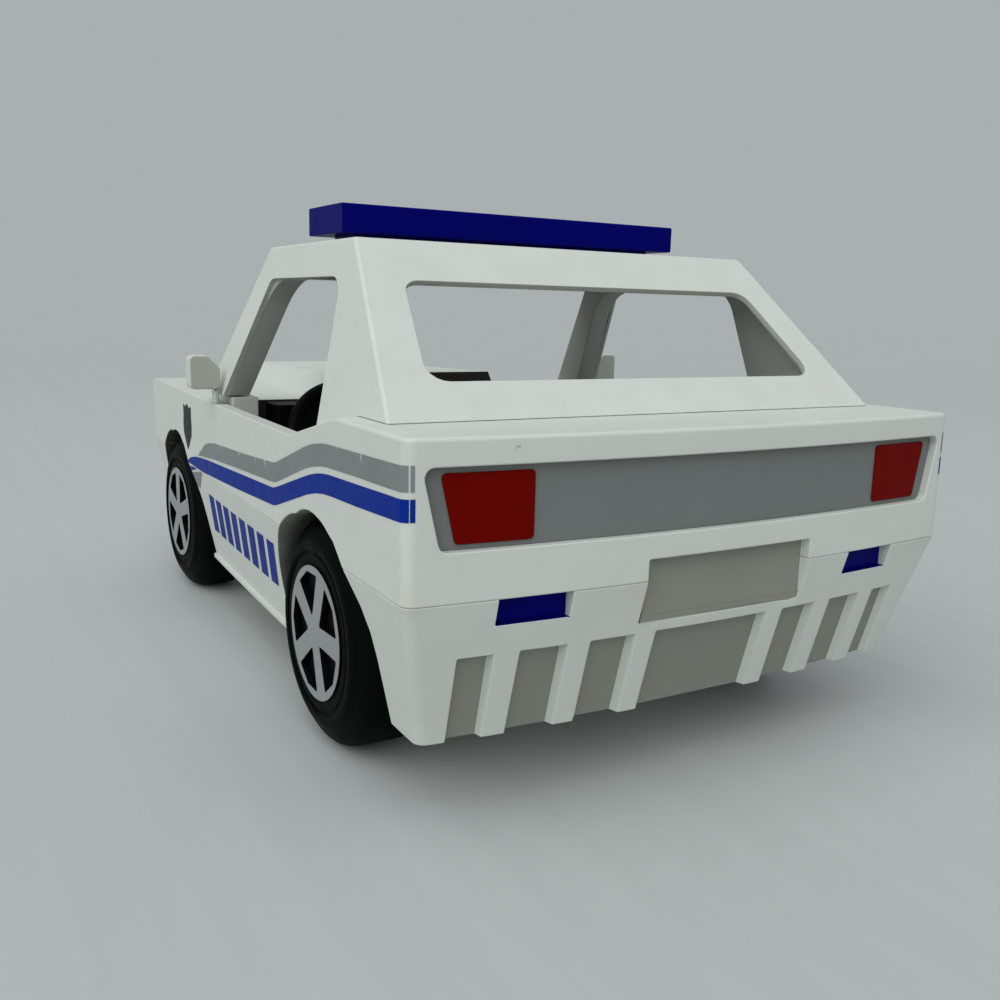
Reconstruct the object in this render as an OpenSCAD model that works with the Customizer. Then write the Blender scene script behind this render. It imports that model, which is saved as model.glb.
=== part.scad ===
// Toy police car: two-piece body, lift-off cabin with open windows, roof light bar,
// two rolling wheel sets and a turning steering wheel.
// Millimetres, +Z up, front towards -Y, left side towards +X, ground at Z = 0.

/* [Overall] */
// Length over both bumpers
car_len = 186; // [170:1:205]
// Width of the body at its rear corners
body_w = 99.2; // [94:0.2:106]
// How much each side draws in evenly from rear to front
nose_taper = 5; // [3:0.1:7]
// How much each side draws in more towards the nose
nose_round = 3.2; // [1:0.1:5]
// Bow of the rear face in plan
rear_bow = 2.9; // [1:0.1:5]
// Bow of the front face in plan
front_bow = 5; // [2:0.1:8]
// Plan radius of the rear corners
rear_r = 1.8; // [1:0.1:4]
// Plan radius of the front corners
front_r = 7; // [4:0.1:10]

/* [Heights] */
// Underside of the lower body
floor_z = 12.6; // [11:0.1:14]
// Seam between lower and upper body
seam_z = 33.6; // [33:0.1:35]
// Top of the nose
nose_z = 46.4; // [45:0.1:48]
// Belt line and front wings
belt_z = 49.4; // [48:0.1:51]
// Rear deck
deck_z = 54.4; // [53:0.1:56]
// Outside of the cabin roof
roof_z = 79.7; // [76:0.1:84]

/* [Body] */
// Wall of the body mouldings
wall = 2.4; // [1.8:0.1:3]
// Wall along the belt
belt_wall = 2.6; // [2:0.1:3.2]
// Where the hood starts to slope to the nose
hood_break_y = -76.2; // [-80:0.2:-70]
// Rear face of the cowl
cowl_y = -12.2; // [-14:0.1:-11]
// Where the belt starts to rise to the deck
rise_start_y = 44.8; // [40:0.2:48]
// Where the belt reaches the deck
rise_end_y = 66.8; // [63:0.2:69]
// Length of the boot behind the seats
boot_len = 33; // [30:0.1:36]
// Height of the hood bulge at the cowl
bulge_rear_z = 54.8; // [53:0.1:56]
// Height of the hood bulge at its front
bulge_front_z = 53.4; // [52:0.1:55]
// Half width of the bulge top at the cowl
bulge_rear_w = 20; // [16:0.1:24]
// Half width of the bulge top at its front
bulge_front_w = 14; // [10:0.1:18]
// Width of the bulge flanks
bulge_flank = 4; // [2:0.1:6]
// Front end of the bulge top
bulge_front_y = -79; // [-82:0.1:-76]
// Length of the bulge front slope
bulge_slope = 7; // [5:0.1:8]

/* [Pillar pads] */
// Width of the pads under the front pillars
pad_w = 5.3; // [4.4:0.1:7]
// How far the pads stay inside the widest body side
pad_side = 6.4; // [6:0.1:7.6]
// Length of the pads
pad_len = 9.2; // [8:0.1:12]
// Height of the pads over the belt
pad_rise = 1.4; // [1:0.1:2]
// Depth of the pads
pad_depth = 6; // [5:0.1:7]
// Overlap of the pads on the cowl and the belt
pad_lap = 1; // [0.6:0.1:1.4]

/* [Lower body] */
// Inward lean of the sides, share of height
side_lean_share = 0.22; // [0.1:0.01:0.3]
// Inward lean of the bumpers, share of height
end_lean_share = 0.277; // [0.1:0.01:0.32]
// Thickness of the floor
floor_t = 2.5; // [2:0.1:3]
// Thickness of the bumpers
bumper_t = 6.4; // [6:0.1:8]
// Height of the lip that locates the body
lip_h = 2; // [1:0.1:3]
// Thickness of the lip
lip_t = 1.2; // [1:0.1:2]
// How far the sill edge stands out
sill_out = 0.8; // [0.4:0.1:1.2]
// Height of the sill edge
sill_h = 1; // [0.6:0.1:2]
// Thickness of the wheel well walls
liner_t = 1.6; // [1.2:0.1:2]
// Depth of the wheel wells from the widest body side
liner_side = 20.6; // [19.6:0.1:21]

/* [Rear end] */
// Distance of the rear recess from the body side at its top
recess_top_side = 2.4; // [2.2:0.1:4]
// Distance of the rear recess from the body side at its bottom
recess_low_side = 4.8; // [4:0.1:6]
// Top of the rear recess
recess_top_z = 50.75; // [49:0.05:52]
// Bottom of the rear recess
recess_low_z = 40.2; // [39:0.1:42]
// Corner radius of the rear recess
recess_r = 1.3; // [0.6:0.1:2]
// Depth of the grey panel face
panel_depth = 1.2; // [0.8:0.1:1.4]
// Thickness of the grey panel
panel_t = 0.7; // [0.6:0.1:0.8]
// Gap between the lamps and the recess edge at the top
lamp_top_gap = 2.74; // [2:0.02:4]
// Gap between the lamps and the recess edge at the bottom
lamp_low_gap = 2.34; // [2:0.02:4]
// Width of the lamps at the bottom
lamp_w = 10.86; // [9:0.02:14]
// Top of the lamps
lamp_top_z = 49.9; // [48:0.1:50.4]
// Bottom of the lamps
lamp_low_z = 40.9; // [40.5:0.1:43]
// Depth of the lamp faces
lamp_depth = 0.9; // [0.6:0.05:1.05]
// Half width of the plate pocket
plate_w = 15.3; // [13:0.1:17]
// Shift of the plate pocket to the right side
plate_shift = 1.2; // [0:0.1:1.6]
// Top of the plate pocket
plate_top_z = 36.7; // [36.3:0.1:38]
// Bottom of the plate pocket
plate_low_z = 27.2; // [26.6:0.1:29]
// Depth of the plate pocket at its top
plate_depth = 2.1; // [1.9:0.1:2.3]
// Width of the reflector pockets
reflector_w = 10.9; // [9:0.1:12]
// Distance of the reflector pockets from the body side
reflector_side = 12.8; // [12:0.1:14]
// Height of the reflector pockets
reflector_h = 3.7; // [3:0.1:4.4]
// Depth of the reflector pockets
reflector_depth = 2.2; // [1.6:0.1:2.6]
// Thickness of the reflectors
reflector_t = 0.8; // [0.6:0.1:1]
// Top of the gaps between the fins
fin_top_z = 25.5; // [24:0.1:27]
// Place of the first fin
fin_x = 12.4; // [11:0.1:13]
// Distance of the fins from the body side
fin_side = 8.1; // [7.6:0.1:9]
// Distance of the last fin from the end of the fins
fin_last = 7.1; // [6:0.1:8]
// Width of a fin face
fin_face = 3.5; // [2.8:0.1:4]
// Draft of the fin flanks
fin_draft = 0.4; // [0.2:0.1:1]
// Depth of the gaps between the fins
fin_depth = 1.6; // [1.2:0.1:2.4]

/* [Front end] */
// Distance of the front recess from the widest body side at its top
grille_top_side = 18.6; // [18:0.1:21]
// Distance of the front recess from the widest body side at its bottom
grille_low_side = 20.6; // [19:0.1:23]
// Top of the front recess
grille_top_z = 43.6; // [42:0.1:44]
// Bottom of the front recess
grille_low_z = 36.2; // [36:0.1:38]
// Width of the head lamps with their rim
headlamp_w = 12.5; // [11:0.1:15]
// Rim of the recess around the head lamps
headlamp_rim = 0.8; // [0.5:0.1:1.2]

/* [Cabin] */
// Foot of the windscreen line
screen_y = -16.7; // [-18:0.1:-15]
// Front edge of the roof
roof_front_y = 6.4; // [4:0.1:9]
// Rear edge of the roof
roof_rear_y = 49.3; // [46:0.1:52]
// Foot of the rear window line
back_y = 76.75; // [75:0.05:79]
// How far the cabin foot stays inside the widest body side, below the front edge of the roof
foot_side = 4.36; // [4:0.02:5]
// Sideways growth of the cabin to the rear, share of length
cabin_flare_share = 0.0192; // [0.01:0.001:0.025]
// Sideways growth of the cabin downward, share of height
cabin_lean_share = 0.2462; // [0.2:0.002:0.26]
// Thickness of the cabin sides
cabin_wall = 2; // [1.6:0.1:2.6]
// Thickness of the front pillars
pillar_t = 5.4; // [4:0.1:6]
// How far the thick part of the front pillars lies behind the windscreen edge
pillar_back = 4; // [2:0.1:5]
// How far the thick part of the front pillars runs on over the side windows
pillar_run = 12; // [8:0.1:16]
// Corner radius of the thick part of the front pillars
pillar_r = 12; // [8:0.1:14]
// Thickness of the roof
roof_t = 2.6; // [2.2:0.1:3]
// Thickness of the cabin rear
back_t = 2.4; // [2:0.1:3]
// Underside of the roof edge over the windscreen
header_z = 74.1; // [72:0.1:75]
// Length of the roof edge over the windscreen
header_len = 9; // [7:0.1:11]
// Top of the side windows
window_top_z = 73.8; // [72:0.1:75]
// Front edge of the side windows at the belt
window_front_y = -6.4; // [-7.4:0.1:-5]
// Front edge of the side windows at the top
window_front_top_y = 11; // [9.6:0.1:12.6]
// Rear edge of the side windows at the belt
window_rear_y = 51.5; // [49:0.1:53]
// Rear edge of the side windows at the top
window_rear_top_y = 47.3; // [45:0.1:49]
// Corner radius of the side windows
window_r = 3; // [2:0.1:4]
// Corner radius of the side windows at the rear of the roof
window_rear_r = 4.4; // [3:0.1:5]
// How far the rear window stays inside the roof at its top
glass_top_side = 4.2; // [3.4:0.1:6]
// How far the rear window stays inside the roof at its bottom
glass_low_side = 0.9; // [0.4:0.1:3]
// Top of the rear window
glass_top_z = 73.4; // [72:0.1:75]
// Bottom of the rear window
glass_low_z = 59.5; // [58:0.1:61]
// Corner radius of the rear window
glass_r = 3; // [2:0.1:4]
// Thickness of the lip around the rear window
glass_lip = 1.1; // [0.9:0.1:1.6]
// Width of the step inside the lip
glass_step = 1.6; // [1:0.1:2]
// Radius of the pegs under the cabin
peg_r = 1.2; // [1:0.05:1.4]
// Length of the pegs under the cabin
peg_len = 4; // [3:0.1:5]
// How far the pegs stay inside the roof width
peg_side = 2.2; // [0.4:0.1:5]
// Distance of the pegs ahead of the foot of the rear line
peg_ahead = 3.2; // [2.6:0.1:4]

/* [Light bar] */
// How far the light bar stays inside the roof width
bar_side = 3.3; // [1.2:0.1:8]
// Front side of the light bar
bar_front_y = 18.1; // [16:0.1:22]
// Depth of the light bar
bar_depth = 16; // [13:0.1:18]
// Height of the light bar lens
bar_h = 4.8; // [4:0.1:6]
// Edge radius of the light bar
bar_r = 0.4; // [0.3:0.1:1.6]
// Height of the foot under the lens
bar_foot_h = 1.6; // [1.2:0.1:2]
// How far the foot stays inside the lens
bar_foot_in = 3.5; // [2:0.1:5]
// Radius of the light bar pegs
bar_peg_r = 1.6; // [1.2:0.1:2]
// Distance of the light bar pegs from the middle
bar_peg_x = 20; // [15:0.5:25]

/* [Mirrors] */
// How far a mirror stands out over the body side
mirror_reach = 4.9; // [3.6:0.1:8]
// Front side of the mirrors
mirror_front_y = -8.1; // [-9:0.1:-7]
// Thickness of a mirror
mirror_t = 3.6; // [2:0.1:4]
// Underside of a mirror
mirror_low_z = 52.4; // [52:0.1:54]
// Height of a mirror
mirror_h = 6.6; // [5.6:0.1:8]
// Corner radius of a mirror
mirror_r = 1; // [0.6:0.1:1.4]
// Slanted corner of a mirror
mirror_cut = 2.4; // [1.6:0.1:3]
// Thickness of the mirror foot
mirror_foot_t = 1; // [0.8:0.1:1.2]
// Depth of the mirror tab in the belt
mirror_tab_len = 2.4; // [2:0.1:3]
// How far the mirror tab stays inside the belt
mirror_tab_in = 0.6; // [0.4:0.1:0.8]

/* [Wheels] */
// Outer radius of the tyres
tyre_r = 18.5; // [17.5:0.1:18.8]
// Width of the tyres
tyre_w = 12; // [10.5:0.1:12.2]
// Radius of the hubcaps
cap_r = 10.85; // [10:0.05:11.5]
// Width of the hubcap rim
cap_rim = 1; // [0.8:0.1:1.6]
// Thickness of the hubcaps
cap_t = 1.2; // [1:0.1:1.6]
// Place of the rear axle
rear_axle_y = 50.46; // [49:0.02:52]
// Place of the front axle
front_axle_y = -52.91; // [-54:0.01:-52]
// How far the rear wheels stay inside the widest body side
rear_wheel_side = 3.16; // [1.6:0.02:3.6]
// How far the front wheels stay inside the widest body side
front_wheel_side = 6.14; // [4.6:0.02:6.6]
// Radius of the axles
axle_r = 1.5; // [1.2:0.05:2]
// How deep the axles stay inside the caps
axle_in = 1.6; // [1.4:0.1:3]
// Width of an axle bearing
bearing_w = 9; // [8:0.1:12]
// Material over the axle in a bearing
bearing_over = 2.2; // [1.6:0.1:2.4]

/* [Interior] */
// Underside of the tub
tub_z = 23; // [22.8:0.1:25]
// Wall of the tub
tub_wall = 1.6; // [1.2:0.1:2]
// Gap between the tub and the wheel wells
tub_gap = 0.5; // [0.3:0.1:1.4]
// How far the wide part of the tub stays inside the widest body side
tub_side = 11.6; // [10.6:0.1:13.6]
// Gap between the wide part of the tub and the rear wheel wells
tub_back_gap = 2.57; // [1:0.01:4]
// Underside of the tub rim
tub_rim_z = 41.2; // [41:0.1:42]
// Thickness of the tub rim
tub_rim_t = 1.4; // [1:0.1:2]
// Gap between a seat and the tub
seat_side = 1.7; // [1:0.1:3]
// Gap between the seats
seat_mid = 3.2; // [2:0.1:5]
// Distance of the seats behind the steering wheel
seat_ahead = 14; // [13:0.5:18]
// Space behind the seats
seat_behind = 12; // [4:0.5:14]
// Height of the seat cushion
seat_h = 8; // [6:0.5:10]
// Height of the seat back
seat_back_h = 15; // [12:0.5:17]
// Thickness of the seat back
seat_back_t = 6; // [5:0.5:8]
// Lean of the seat back
seat_back_lean = 4; // [2:0.5:6]
// Corner radius of the seats
seat_r = 2; // [1:0.1:2.4]
// How far the dashboard stays inside the wide part of the tub
dash_side = 4; // [2:0.1:6]
// Length of the dashboard
dash_len = 7; // [6:0.1:7.4]
// Height of the dashboard over the tub rim
dash_h = 6.4; // [4:0.1:6.6]
// Depth of the dashboard under the tub rim
dash_drop = 9; // [7:0.1:10]

/* [Steering] */
// Distance of the steering wheel middle from the end of the dashboard
steer_side = 13; // [12:0.1:16]
// Place of the steering wheel along
steer_y = 2; // [1:0.1:4]
// Height of the steering wheel middle
steer_z = 42; // [40:0.1:43]
// Tilt of the steering column in degrees
steer_tilt = 25; // [15:1:35]
// Outer radius of the steering wheel
steer_r = 13; // [11:0.1:13.4]
// Thickness of the steering wheel rim
steer_rim_t = 2.6; // [2:0.1:3]
// Width of a steering wheel spoke
spoke_w = 3; // [2:0.1:4]
// Radius of the steering wheel hub
steer_hub_r = 3; // [2.4:0.1:4]
// Height of the steering wheel hub
steer_hub_h = 3; // [2.4:0.1:4]
// Radius of the steering column
column_r = 2.4; // [2:0.1:2.6]
// Radius of the steering pin
pin_r = 1.2; // [1:0.05:1.4]
// Depth of the column seat in the dashboard
column_seat = 2.5; // [2:0.1:3]

/* [Screws] */
// Distance of the screws from the wheel wells across
screw_side = 8.2; // [6:0.1:9]
// Distance of the front screws from the nose
screw_front = 18.2; // [18:0.1:20]
// Distance of the rear screws from the rear end
screw_rear = 17; // [16:0.1:19]
// Radius of the screw heads
screw_head_r = 2.6; // [2:0.1:3]
// Height of the screw heads
screw_head_h = 1.8; // [1.2:0.1:2.2]
// Radius of the screw shanks
screw_r = 1.3; // [1:0.05:1.5]
// Length of the screw shanks
screw_len = 11; // [9:0.1:13]
// Depth of the screw heads under the floor
screw_sunk = 1.4; // [1:0.1:2]
// Radius of the screw posts
post_r = 4; // [3.6:0.1:5]
// Height of the pads around the screws
post_pad_h = 6; // [5:0.1:7]

/* [Fits] */
// Play between pieces that move
play = 0.3; // [0.2:0.05:0.4]
// Play in bearings and around pegs
fit = 0.05; // [0.03:0.01:0.08]
// Over-run of cutting shapes
past = 1; // [0.5:0.5:2]

/* [Hidden] */

white = [0.87, 0.89, 0.87];
black = [0.05, 0.05, 0.055];
grey = [0.42, 0.44, 0.46];
blue = [0.02, 0.16, 0.6];
red = [0.75, 0.06, 0.05];
silver = [0.75, 0.76, 0.78];
clear = [0.8, 0.85, 0.88];
steel = [0.6, 0.61, 0.63];

round_n = 64;
small_n = 32;
bow_steps = 8;
corner_steps = 4;
side_steps = 12;
fillet_steps = 5;
corner_a = 84;

// radius of the front part of the wheel arches, shares of the tyre radius
front_arch_share = 1.085;
rear_arch_share = 1.03;

// angle at which that part ends
arch_join_a = 98;

rear_y = car_len/2;
front_y = -car_len/2;
axle_z = tyre_r;
rear_skin_y = rear_y - rear_bow - rear_r - 2*wall;
front_skin_y = front_y + front_bow + front_r + 2*wall;
floor_top_z = floor_z + floor_t;
footing_z = floor_z + floor_t/2;
lower_h = seam_z - floor_z;
side_in = lower_h*side_lean_share;
end_in = lower_h*end_lean_share;
span = car_len + body_w;
side_x = body_w/2;
rear_arch_r = tyre_r*rear_arch_share;
bulkhead_y = rear_y - boot_len;
pad_out_x = side_x - pad_side;
pad_in_x = pad_out_x - pad_w;
liner_x = side_x - liner_side;
recess_top_w = side_x - recess_top_side;
recess_low_w = side_x - recess_low_side;
lamp_top_x = recess_top_w - lamp_top_gap;
lamp_low_x = recess_low_w - lamp_low_gap;
lamp_in_x = lamp_low_x - lamp_w;
reflector_mid_x = side_x - reflector_side - reflector_w/2;
fin_end_x = side_x - fin_side;
fin_pitch = (fin_end_x - fin_x - fin_last)/2;
grille_top_w = side_x - grille_top_side;
grille_low_w = side_x - grille_low_side;
headlamp_in_x = grille_top_w - headlamp_w;
rear_wheel_x = side_x - rear_wheel_side;
front_wheel_x = side_x - front_wheel_side;
tub_rear_w = liner_x - liner_t - tub_gap;
tub_front_w = side_x - tub_side;
tub_wide_y = rear_axle_y - rear_arch_r - liner_t - tub_back_gap;
seat_w = tub_rear_w - tub_wall - seat_side - seat_mid/2;
seat_x = (seat_w + seat_mid)/2;
seat_y = steer_y + seat_ahead;
seat_len = bulkhead_y - seat_behind - seat_back_t - seat_back_lean - seat_y;
dash_w = tub_front_w - dash_side;
steer_x = dash_w - steer_side;
screw_x = liner_x - screw_side;
screw_front_y = front_y + screw_front;
screw_rear_y = rear_y - screw_rear;
lean_a = atan(cabin_lean_share);
flare_a = atan(cabin_flare_share*cos(lean_a));
core_r = cap_r - fit;
pad_front_y = cowl_y - pad_lap;
pad_rear_y = pad_front_y + pad_len;
pad_z = belt_z + pad_rise;
cabin_low_z = belt_z + play;
cabin_deck_z = deck_z + play;
cabin_pad_z = pad_z + play;
foot_w = side_x - foot_side;
roof_w = foot_w - cabin_lean_share*(roof_z - cabin_pad_z);
glass_top_w = roof_w - glass_top_side;
glass_low_w = roof_w - glass_low_side;
peg_x = roof_w - peg_side;
bar_len = 2*(roof_w - bar_side);
back_run = back_y - roof_rear_y;
back_drop = roof_z - cabin_deck_z;
back_a = atan2(back_drop, back_run);
back_in = back_t/sin(back_a);
void_z = belt_z - past;
tub_floor_z = tub_z + tub_wall;
tub_top_z = tub_rim_z + tub_rim_t;
peg_y = back_y - peg_ahead;
fin_from = (seam_z - fin_top_z)/cos(atan(end_lean_share));
fin_run = lower_h/cos(atan(end_lean_share)) + past;
end_a = atan(end_lean_share);
rear_hub_in_x = rear_wheel_x - tyre_w;
front_hub_in_x = front_wheel_x - tyre_w;

// top and rear part of a wheel arch outline, shares of the tyre radius
arch_shares = [[-0.009, 1.076], [0.08, 1.098], [0.2, 1.112], [0.337, 1.108], [0.499, 1.08],
               [0.568, 1.059], [0.789, 0.973], [1.032, 0.789], [1.243, 0.589], [1.341, 0.411],
               [1.368, 0.216]];
arch_end_share = 1.368;

// outer side of a tyre: shares of the tyre radius and of its width
tyre_shares = [[0.655, 0.975], [0.672, 0.975], [0.684, 0.945], [0.706, 0.945], [0.718, 0.985],
               [0.76, 0.99], [0.79, 0.98], [0.825, 0.955], [0.838, 0.93], [0.88, 0.905],
               [0.93, 0.855], [0.97, 0.785], [0.992, 0.71], [1, 0.63], [1, 0.08], [0.96, 0]];

// window of a hubcap: half angle, inner point and corners as shares of the space inside the rim
cap_void_a = 25;
cap_void_in_share = 0.27;
cap_void_corner_share = 0.97;

// corner radius of a hubcap window, share of the rim
cap_void_r_share = 0.3;

// half width of the body in plan at a place along the car
function half_w(y) =
    let (s = (rear_y - y)/car_len)
    body_w/2 - nose_taper*s - nose_round*pow(s, 3);

// points on an arc
function arc_pts(c, r, a0, a1, n) =
    [for (i = [0:n]) let (a = a0 + (a1 - a0)*i/n) [c[0] + r*cos(a), c[1] + r*sin(a)]];

// left half of the plan outline, drawn in by ix at the sides and ie at the ends
function plan_half(ix, ie) =
    let (yr = rear_y - ie,
         yf = front_y + ie,
         hr = half_w(yr - rear_bow - rear_r) - ix,
         hf = half_w(yf + front_bow + front_r) - ix,
         xr = hr - rear_r,
         xf = hf - front_r,
         cr = yr - rear_bow*pow(xr/hr, 2) - rear_r,
         cf = yf + front_bow*pow(xf/hf, 2) + front_r)
    concat(
        [for (i = [0:bow_steps - 1]) let (x = xr*i/bow_steps) [x, yr - rear_bow*pow(x/hr, 2)]],
        arc_pts([xr, cr], rear_r, corner_a, 0, corner_steps),
        [for (i = [1:side_steps - 1]) let (y = cr + (cf - cr)*i/side_steps) [half_w(y) - ix, y]],
        arc_pts([xf, cf], front_r, 0, -corner_a, corner_steps),
        [for (i = [bow_steps - 1:-1:0])
            let (x = xf*i/bow_steps) [x, yf + front_bow*pow(x/hf, 2)]]);

// whole plan outline
function plan(ix, ie) =
    let (h = plan_half(ix, ie))
    concat(h, [for (i = [len(h) - 2:-1:1]) [-h[i][0], h[i][1]]]);

// rear face of the body at a place across the car
function rear_face_y(x) = rear_y - rear_bow*pow(x/half_w(rear_y), 2);

// turn of the rear face at a place across the car
function rear_face_a(x) = -atan(2*rear_bow*x/pow(half_w(rear_y), 2));

// half width of the cabin at a place along the car and a height
function cabin_w(y, z) =
    roof_w + cabin_flare_share*(y - roof_front_y) + cabin_lean_share*(roof_z - z);

// place on the windscreen line at a height
function screen_line_y(z) =
    screen_y + (roof_front_y - screen_y)*(z - cabin_pad_z)/(roof_z - cabin_pad_z);

// place on the rear window line at a height
function back_line_y(z) = roof_rear_y + back_run*(roof_z - z)/back_drop;

function unit(v) = v/norm(v);

// corner of an outline rounded with radius r
function fillet(p, q, s, r) =
    let (a = unit(p - q),
         b = unit(s - q),
         h = acos(max(-1, min(1, a*b)))/2,
         c = q + unit(a + b)*r/sin(h),
         u = q + a*r/tan(h) - c,
         v = q + b*r/tan(h) - c,
         a0 = atan2(u[1], u[0]),
         d = atan2(v[1], v[0]) - a0,
         t = d > 180 ? d - 360 : d < -180 ? d + 360 : d)
    arc_pts(c, r, a0, a0 + t, fillet_steps);

// outline with all corners rounded
function rounded(pts, r) =
    let (n = len(pts))
    [for (i = [0:n - 1]) each fillet(pts[(i + n - 1)%n], pts[i], pts[(i + 1)%n], r)];

// outline with a radius of its own for each corner
function rounded_by(pts, rs) =
    let (n = len(pts))
    [for (i = [0:n - 1]) each fillet(pts[(i + n - 1)%n], pts[i], pts[(i + 1)%n], rs[i])];

// outline points lifted to a height
function ring_at(pts, z) = [for (p = pts) [p[0], p[1], z]];

// outline of a wheel arch around its wheel centre with front radius r, grown by e
function arch_pts(r, e) =
    concat(
        [[-r - e, -span], [-r - e, 0]],
        arc_pts([0, 0], r + e, 180, arch_join_a, small_n/2),
        [for (p = arch_shares) let (q = p*tyre_r) q + unit(q)*e],
        [[tyre_r*arch_end_share + e, -span]]);

// solid between outlines of equal point count, from first to last
module loft(rings) {
    n = len(rings[0]);
    m = len(rings);
    low = [for (i = [n - 1:-1:0]) i];
    high = [for (i = [0:n - 1]) (m - 1)*n + i];
    sides = [for (k = [0:m - 2], i = [0:n - 1])
        let (a = k*n + i, b = k*n + (i + 1)%n) each [[a, b, b + n], [a, b + n, a + n]]];
    polyhedron(points = [for (r = rings) each r], faces = concat([low, high], sides));
}

// solid with the plan outline
module plan_block(ix, ie, z0, z1) {
    translate([0, 0, z0])
        linear_extrude(z1 - z0)
            polygon(plan(ix, ie));
}

// solid across the car from a side outline in Y and Z
module across(pts, w) {
    rotate([90, 0, 90])
        linear_extrude(w, center = true)
            polygon(pts);
}

// solid along the car from a front outline in X and Z
module along(pts, y0, y1) {
    translate([0, y1, 0])
        rotate([90, 0, 0])
            linear_extrude(y1 - y0)
                polygon(pts);
}

// solid box between two corners
module box(a, b) {
    translate(a)
        cube(b - a);
}

// four-cornered outline that is mirror-equal left and right
function trapeze(top_w, low_w, top_z, low_z) =
    [[-low_w, low_z], [low_w, low_z], [top_w, top_z], [-top_w, top_z]];

// top of the body, drawn in by t
module body_profile(t) {
    low = seam_z - t - past;
    across([[front_y - past, low], [front_y - past, nose_z - t],
            [hood_break_y, belt_z - t], [rise_start_y + t, belt_z - t],
            [rise_end_y + t, deck_z - t], [rear_y + past, deck_z - t],
            [rear_y + past, low]], span);
}

// hood bulge, drawn in by t
module bulge(t) {
    low = nose_z - t - past;
    function ring(y, w, f, z) = [[w + f - t, y, low], [w - t, y, z - t],
                                 [t - w, y, z - t], [t - w - f, y, low]];
    loft([ring(bulge_front_y - bulge_slope + t, bulge_front_w, 0, nose_z + t),
          ring(bulge_front_y + t/2, bulge_front_w, bulge_flank, bulge_front_z),
          ring(cowl_y - t, bulge_rear_w, bulge_flank, bulge_rear_z)]);
}

// both wheel arches of both sides, from the inner side of the wells outward
module arches(e, x0) {
    for (s = [0, 1])
        mirror([s, 0, 0]) {
            arch(front_axle_y, tyre_r*front_arch_share, e, x0);
            arch(rear_axle_y, rear_arch_r, e, x0);
        }
}

// one wheel arch of the left side
module arch(y, r, e, x0) {
    translate([x0, y, axle_z])
        rotate([90, 0, 90])
            linear_extrude(span/2)
                polygon(arch_pts(r, e));
}

// the four screw places
module at_screws() {
    for (x = [-screw_x, screw_x], y = [screw_front_y, screw_rear_y])
        translate([x, y, 0])
            children();
}

// cutter for the plate pocket
module plate_pocket() {
    box([-plate_w - plate_shift, rear_y - plate_depth, plate_low_z],
        [plate_w - plate_shift, rear_y + past, plate_top_z]);
}

// front outline of the rear recess, drawn in by t
function recess_pts(t) =
    rounded(trapeze(recess_top_w - t, recess_low_w - t, recess_top_z - t, recess_low_z + t),
            recess_r);

// front outline of the front recess, drawn in by t
function grille_pts(t) =
    rounded(trapeze(grille_top_w - t, grille_low_w - t, grille_top_z - t, grille_low_z + t),
            recess_r);

// layer under the body surface between two depths
module skin(d0, d1) {
    difference() {
        plan_block(d0, d0, seam_z, deck_z);
        plan_block(d1, d1, seam_z - past, deck_z + past);
    }
}

// space of the wheels inside the body
module wells() {
    arches(0, liner_x);
}

// walls around the space of the wheels
module well_walls(e) {
    arches(liner_t + e, liner_x - liner_t - e);
}

// hollow of the body: engine bay, passenger room and boot
module body_hollow() {
    difference() {
        union() {
            intersection() {
                plan_block(wall, wall, seam_z - past, deck_z);
                body_profile(wall);
            }
            bulge(wall);
        }
        box([-span, cowl_y - wall, seam_z + lip_h + fit], [span, cowl_y, span]);
        box([-span, bulkhead_y, seam_z + lip_h + fit], [span, bulkhead_y + wall, span]);
        intersection() {
            box([-span, cowl_y, 0], [span, bulkhead_y, span]);
            plan_ring();
        }
        well_walls(0);
    }
    intersection() {
        plan_block(belt_wall, wall, belt_z - 2*wall, deck_z + past);
        box([-span, cowl_y, 0], [span, bulkhead_y, span]);
    }
}

// thicker belt beside the passenger room
module plan_ring() {
    difference() {
        plan_block(0, 0, seam_z - past, deck_z + past);
        plan_block(belt_wall, wall, seam_z - 2*past, deck_z + 2*past);
    }
}

// pad under a front pillar, left side
module pillar_pad() {
    box([pad_in_x, pad_front_y, pad_z - pad_depth], [pad_out_x, pad_rear_y, pad_z]);
    box([pad_out_x - pad_lap, pad_front_y, pad_z - pad_depth],
        [half_w(pad_rear_y) - belt_wall/2, pad_rear_y, belt_z - pad_rise]);
}

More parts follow.
